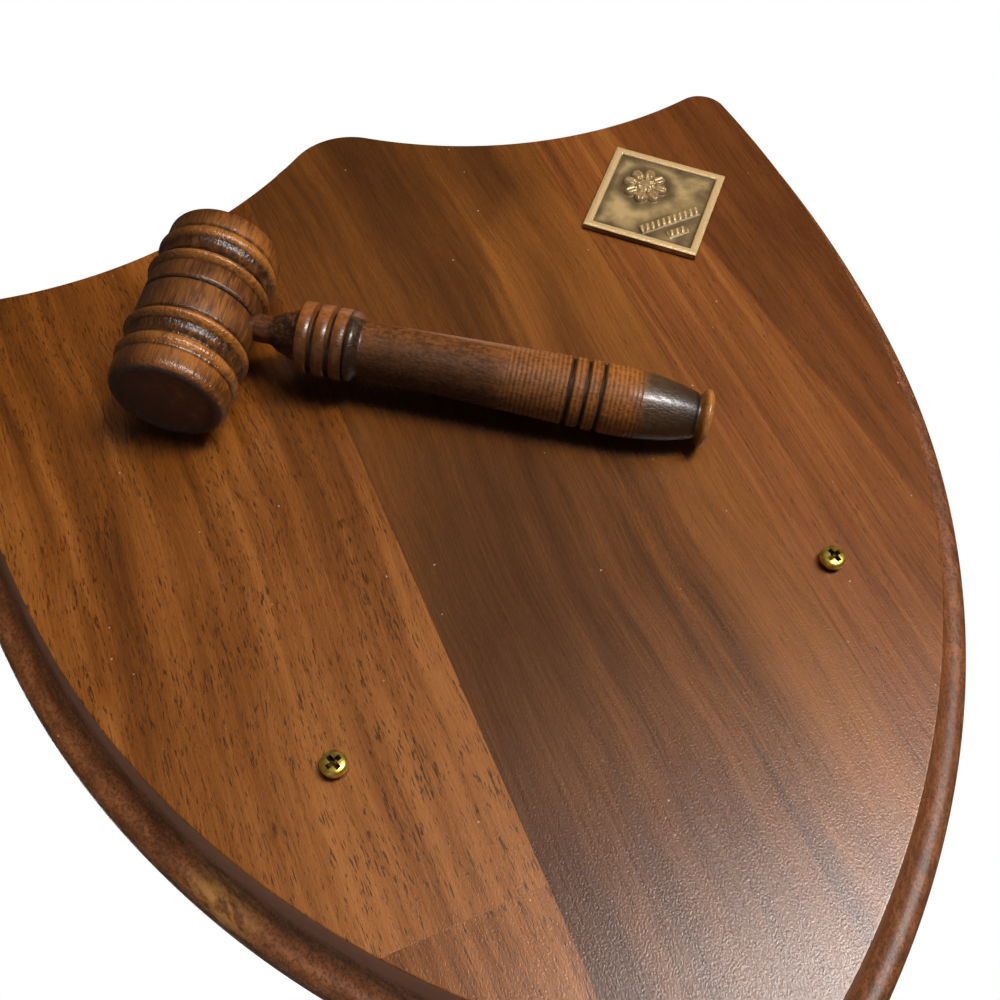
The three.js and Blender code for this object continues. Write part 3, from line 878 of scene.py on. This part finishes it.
# Painted shade: the side of the head away from the handle painted darker.
painted_shade_side = (hx + (head_streak - 0.5) * 9).below(-1.5, 8.0)
head_base = head.mix(painted_shade_side * 0.80, head_base, (0.030, 0.011, 0.005))
head_base = head.mix(v_groove, head_base, black)
head_finish = head.wear(Base_Color=head_base,
                        Roughness=0.22 + 0.18 * head_streak + 0.30 * face_disc,
                        Specular_IOR_Level=0.52,
                        Normal=head.bump(head_ticks + head_hair * 0.25, 0.24, 1.0))
print("head finish has", len(head.tree.nodes), "nodes")

# %% The head itself
points, faces = spin(head_profile, 128, "Z")
make_piece("gavel_head_turned", points, faces, head_finish, "turned_walnut", "gavel_head",
           crisp=50, matrix=gavel_matrix)

# %% Colour along the handle
ramp_start = 12
ramp_length = 103
handle_stops = [
    (12.0, (0.06, 0.018, 0.005)), (15.4, (0.10, 0.028, 0.006)), (17.2, (0.016, 0.007, 0.004)),
    (22.6, (0.009, 0.005, 0.003)), (23.3, (0.27, 0.088, 0.018)), (33.0, (0.26, 0.085, 0.017)),
    (33.9, (0.040, 0.026, 0.016)), (36.2, (0.034, 0.020, 0.012)), (37.4, (0.14, 0.047, 0.012)),
    (42.0, (0.115, 0.040, 0.009)), (64.0, (0.115, 0.038, 0.008)), (69.0, (0.20, 0.068, 0.014)),
    (82.0, (0.25, 0.088, 0.018)), (91.0, (0.30, 0.102, 0.018)), (96.5, (0.33, 0.108, 0.016)),
    (100.0, (0.080, 0.045, 0.022)), (110.2, (0.040, 0.024, 0.013)), (111.1, line_black),
    (112.0, (0.14, 0.045, 0.010)), (113.0, (0.42, 0.165, 0.036))]
handle = Finish("turned_handle_stain")
sx, sy, sz = handle.place()
handle_wobble = handle.noise((sx * 0.15, sy * 0.35, sz * 0.35), 2)
handle_station = sx + (handle_wobble - 0.5) * 1.4 * sx.above(40, 2) * sx.below(108, 2)
handle_base = handle.ramp((handle_station - ramp_start) / ramp_length,
                          [((s - ramp_start) / ramp_length, c) for s, c in handle_stops])
print("handle colour stops:", len(handle_stops))

# %% Grain, ridges, burned lines, painted shade and a painted highlight of the handle
handle_streak = handle.noise((sx * 0.22, sy * 1.1, sz * 1.1), 4, 0.62)
handle_hair = handle.noise((sx * 0.35, sy * 4.0, sz * 4.0), 3, 0.6)
handle_speck = handle.noise((sx * 1.0, sy * 1.0, sz * 1.0), 3, 0.65)
blackened = sx.near(26.35, 0.62).most(sx.near(30.25, 0.62))
for line in lines:
    blackened = blackened.most(sx.near(line, 0.9))
ridge = handle.node("ShaderNodeMath", {"operation": "SINE"},
                    {0: (sx - ridges_start) * (FULL_TURN / ridge_pitch) + QUARTER_TURN})
ridged = sx.above(ridges_start, 0.3) * sx.below(ridges_end, 1.5)
handle_dark = ((handle_streak - 0.5) * 0.9 + (handle_hair - 0.5) * 0.5 + (handle_speck - 0.5) * 1.6
               + ridged * ridge * 0.22)
handle_base = handle.mix(handle_dark.above(0.12, 0.32) * 0.60, handle_base, (0.024, 0.009, 0.004))
before_taper = sx.below(99, 1.5)
handle_base = handle.mix((0 - handle_dark).above(0.14, 0.30) * 0.30 * before_taper, handle_base,
                         (0.36, 0.135, 0.040))
# Painted shade: the underside of the handle painted darker, most of all towards the head.
painted_under_shade = (sz + (handle_speck - 0.5) * 5).below(-2.5, 3.5) * before_taper
handle_base = handle.mix(painted_under_shade * (0.28 + 0.34 * sx.below(68, 4)), handle_base,
                         (0.014, 0.006, 0.003))
# Painted highlight: a pale pink strip along the top edge of the shaft.
painted_top_highlight = ((sz * 0.80 - sy * 0.60) / 6.9).above(0.93, 0.07) * sx.near(52, 34)
handle_base = handle.mix(painted_top_highlight * 0.55, handle_base, (0.52, 0.27, 0.17))
handle_base = handle.mix(blackened, handle_base, line_black)
print("handle finish has", len(handle.tree.nodes), "nodes")

# %% Lacquer of the handle, and the handle itself
handle_grit = handle.noise((sx * 0.9, sy * 2.0, sz * 2.0), 3, 0.6)
polish = sx.below(33.0, 1.0).most(sx.near(35.2, 3.4)).most(sx.above(98.0, 3.0))
handle_finish = handle.wear(Base_Color=handle_base,
                            Roughness=0.36 + 0.24 * handle_speck - 0.12 * polish,
                            Specular_IOR_Level=0.18,
                            Coat_Weight=polish * (0.15 + 0.85 * handle_hair.above(0.50, 0.16)),
                            Coat_Roughness=0.27,
                            Normal=handle.bump(handle_grit + handle_speck * 0.3, 0.18, 1.0))
points, faces = spin(handle_profile, 96, "X")
make_piece("gavel_handle_turned", points, faces, handle_finish, "turned_walnut", "gavel_handle",
           crisp=50, matrix=gavel_matrix)

# %% [markdown]
# ## The medallion
#
# The medallion is a struck bronze plate set on its corner: a raised rim, a sunken field, a relief
# in the upper part and rows of small strokes below. A struck piece is one surface with heights,
# so it is made as a grid whose every point is lifted by a height worked out from its place. The
# relief is a rosette of eight petals. The rows are plain slanted strokes. The bronze is dark where
# polish never reached, darker still round the rim, the rosette and the strokes with patina and
# painted shade, and bright on what stands up.

# %% Heights of the struck face
plate_side = 29.1
plate_thickness = 1.6
plate_rim = 1.9
field_depth = 0.6
rosette_rise = 5.4
rosette_radius = 6.2


def smooth(value, low, high):
    share = np.clip((value - low) / (high - low), 0, 1)
    return share * share * (3 - 2 * share)


def rosette_height(x, z):
    """Eight veined petals round a ringed boss."""
    reach = np.hypot(x, z)
    angle = np.arctan2(z, x)
    phase = np.abs(((angle * 8 / FULL_TURN) % 1) - 0.5) * 2
    width = np.sin(np.clip(reach / rosette_radius, 0, 1) * math.pi) ** 0.6
    petal = smooth(width - (1 - phase) * 0.78, 0.0, 0.5)
    vein = 0.25 * np.exp(-((1 - phase) / 0.14) ** 2)
    petals = petal * (1.15 - vein) * smooth(rosette_radius - reach, 0.0, 1.0)
    boss = 1.18 * np.sqrt(np.clip(1 - (reach / 2.3) ** 2, 0, 1))
    moat = -0.45 * np.exp(-((reach - 2.5) / 0.3) ** 2)
    return np.maximum(petals + moat, boss)


def stroke_height(x, z, middle, length, pitch, tall):
    """A row of slanted strokes with rounded tops."""
    lean = x - (z - middle) * 0.35
    wave = np.abs(((lean / pitch) % 1) - 0.5) * 2
    bar = smooth(wave, 0.35, 0.75)
    to_end = length / 2 - np.abs(x)
    to_side = tall / 2 - np.abs(z - middle)
    inside = smooth(to_end, 0, 0.4) * smooth(to_side, 0, 0.35)
    ribbon = smooth(to_end, 0, 0.3) * smooth(to_side + 0.5, 0, 0.35)
    return 0.22 * ribbon + 0.38 * bar * inside


grid = 190
half_side = plate_side / 2
ticks = np.linspace(-half_side, half_side, grid)
u, v = np.meshgrid(ticks, ticks)
px = (u - v) / math.sqrt(2)
pz = (u + v) / math.sqrt(2)
from_side = half_side - np.maximum(np.abs(u), np.abs(v))
rim_share = smooth(from_side, plate_rim - 0.25, plate_rim + 0.35)
rim_round = (0.20 * (1 - smooth(from_side, 0.0, 0.75))
             + 0.10 * smooth(from_side, 0.9, plate_rim))
height = plate_thickness - field_depth * rim_share - rim_round
for relief in (rosette_height(px, pz - rosette_rise),
               stroke_height(px, pz, -7.2, 17.0, 1.55, 2.3),
               stroke_height(px, pz, -11.4, 6.0, 1.55, 2.0)):
    height += np.where(rim_share > 0.5, relief, 0)
print("struck face", round(float(height.min()), 2), "to", round(float(height.max()), 2), "mm high")

# %% Bronze, rubbed bright on what stands up
bronze = Finish("medallion_bronze_relief")
bx, by, bz = bronze.place()
raised = 0 - by
bronze_grit = bronze.noise((bx * 2.2, by * 2.2, bz * 2.2), 4, 0.6)
bronze_cloud = bronze.noise((bx * 0.16, by * 0.16, bz * 0.16 + 3.7), 3)
worn = (raised + (bronze_grit - 0.5) * 0.35).above(1.28, 0.24)
tarnish_and_shade = bronze.mix(bronze_cloud.above(0.5, 0.16), (0.18, 0.118, 0.048), (0.54, 0.38, 0.17))
# Darker round the rim's inner edge, the rosette and the strokes: partly patina in the recesses,
# partly painted shade.
along_side = (bx + bz).size().most((bx - bz).size()) / math.sqrt(2)
by_rim = (along_side - (half_side - plate_rim)).near(0.0, 2.6)
from_rosette = bronze.node("ShaderNodeVectorMath", {"operation": "LENGTH"},
                           {0: bronze.at(bx, 0.0, bz - rosette_rise)}, out="Value")
by_relief = from_rosette.below(rosette_radius + 1.2, 1.6)
by_strokes = (bz + 9.0).near(0.0, 7.5)
shaded = by_rim.most(by_relief).most(by_strokes)
tarnish_and_shade = bronze.mix(shaded * 0.78, tarnish_and_shade, (0.070, 0.040, 0.016))
bright = bronze.mix(bronze_grit, (0.60, 0.40, 0.18), (0.92, 0.66, 0.34))
polished = worn * (1 - by_relief * bronze_grit.below(0.62, 0.10) * 0.62)
bronze_finish = bronze.wear(Base_Color=bronze.mix(polished, tarnish_and_shade, bright), Metallic=0.40,
                            Roughness=0.48 - 0.14 * worn,
                            Normal=bronze.bump(bronze_grit, 0.12, 0.9))
print("bronze finish has", len(bronze.tree.nodes), "nodes")


# %% The medallion plate
def struck_plate():
    """The lifted grid, closed by its sides and a flat back."""
    points = [(px[i, j], -height[i, j], pz[i, j]) for i in range(grid) for j in range(grid)]
    faces = [(i * grid + j, i * grid + j + 1, (i + 1) * grid + j + 1, (i + 1) * grid + j)
             for i in range(grid - 1) for j in range(grid - 1)]
    border = ([j for j in range(grid)] + [i * grid + grid - 1 for i in range(1, grid)]
              + [(grid - 1) * grid + j for j in range(grid - 2, -1, -1)]
              + [i * grid for i in range(grid - 2, 0, -1)])
    start = len(points)
    points += [(points[b][0], 0.0, points[b][2]) for b in border]
    count = len(border)
    faces += [(border[i], border[(i + 1) % count], start + (i + 1) % count, start + i)
              for i in range(count)]
    faces.append(tuple(range(start, start + count)))
    return points, faces


medallion_place = Vector((board_width / 2 - 44.9, -board_thickness - rest_gap,
                          board_height / 2 - 62.2))
medallion_tilt = math.radians(-1.5)
medallion_matrix = (Matrix.Translation(medallion_place * MM)
                    @ Matrix.Rotation(medallion_tilt, 4, "Y"))
make_piece("struck_medallion", *struck_plate(), bronze_finish, "medallion_bronze", "medallion",
           crisp=60, matrix=medallion_matrix)

# %% [markdown]
# ## The nameplate's screws
#
# Two round-headed brass screws stand a little proud where the nameplate was. The head is a low
# dome on a short band, with a cross recess that narrows as it goes in. The recess is cut, so that
# it holds a shadow at any angle, and painted shade darkens it and the foot of the head as well.

# %% Brass finish
brass = Finish("screw_brass_worn")
cx, cy, cz = brass.place()
brass_scratch = brass.noise((cx * 3.0, cy * 3.0, cz * 3.0), 4, 0.65)
brass_stain = brass.noise((cx * 0.9, cy * 0.9, cz * 0.9), 3)
brass_colour = brass.mix(brass_stain.above(0.52, 0.16), (0.95, 0.68, 0.13), (0.50, 0.34, 0.06))
# Painted shade: the cross recess and the foot of the head, near the board, painted dark.
painted_recess_shade = (cx * cx + cz * cz).below(3.6, 0.6) * (0 - cy).below(2.62, 0.12)
painted_shade_under_head = (0 - cy).below(1.75, 0.35)
brass_colour = brass.mix((painted_shade_under_head * 0.6).most(painted_recess_shade * 0.92), brass_colour, (0.035, 0.020, 0.006))
brass_finish = brass.wear(Base_Color=brass_colour, Metallic=0.9,
                          Roughness=0.18 + 0.24 * brass_scratch,
                          Normal=brass.bump(brass_scratch, 0.03, 0.4))
print("brass finish has", len(brass.tree.nodes), "nodes")


# %% Shape of a screw
screw_head_radius = 2.7
shank_radius = 1.38
cross_levels = ((3.9, 1.15, -3.6), (3.5, 1.05, -3.0), (1.9, 0.75, -1.55))
cross_turns = {"screw_left": 0.35, "screw_right": 0.2}
dome_turns = [t / 14 * QUARTER_TURN for t in range(14)]
dome = [(screw_head_radius * math.cos(t) ** 0.62, -(1.9 + 1.1 * math.sin(t) ** 0.9))
        for t in dome_turns]
screw_profile = ([(0.02, 13.9), (shank_radius, 11.0), (shank_radius, -1.0), (1.4, -1.1),
                  (2.6, -1.1), (screw_head_radius, -1.2)] + dome + [(0.02, -3.0)])
print("screw profile of", len(screw_profile), "stations")


# %% Screws
def cross_cutter(place, turn):
    """A cross that narrows from the top of the head inwards."""
    cutters = []
    for quarter in (0, 1):
        angle = turn + quarter * QUARTER_TURN
        way_x, way_z = math.cos(angle), math.sin(angle)
        rings = [[(place.x + a * length / 2 * way_x - b * width / 2 * way_z, place.y + level,
                   place.z + a * length / 2 * way_z + b * width / 2 * way_x)
                  for a, b in ((-1, -1), (1, -1), (1, 1), (-1, 1))]
                 for length, width, level in cross_levels]
        cutters.append(closed_object("cross", *loft(rings)))
    return cutters


for name, place in screw_places.items():
    points, faces = loft([[(radius * a, level, radius * b) for a, b in round_ticks(48)]
                          for radius, level in screw_profile])
    screw = make_piece(name + "_brass", points, faces, brass_finish, "screw_brass", name,
                       crisp=40, matrix=Matrix.Translation(place * MM))
    cut_away(screw, cross_cutter(place, cross_turns[name]), crisp=40)
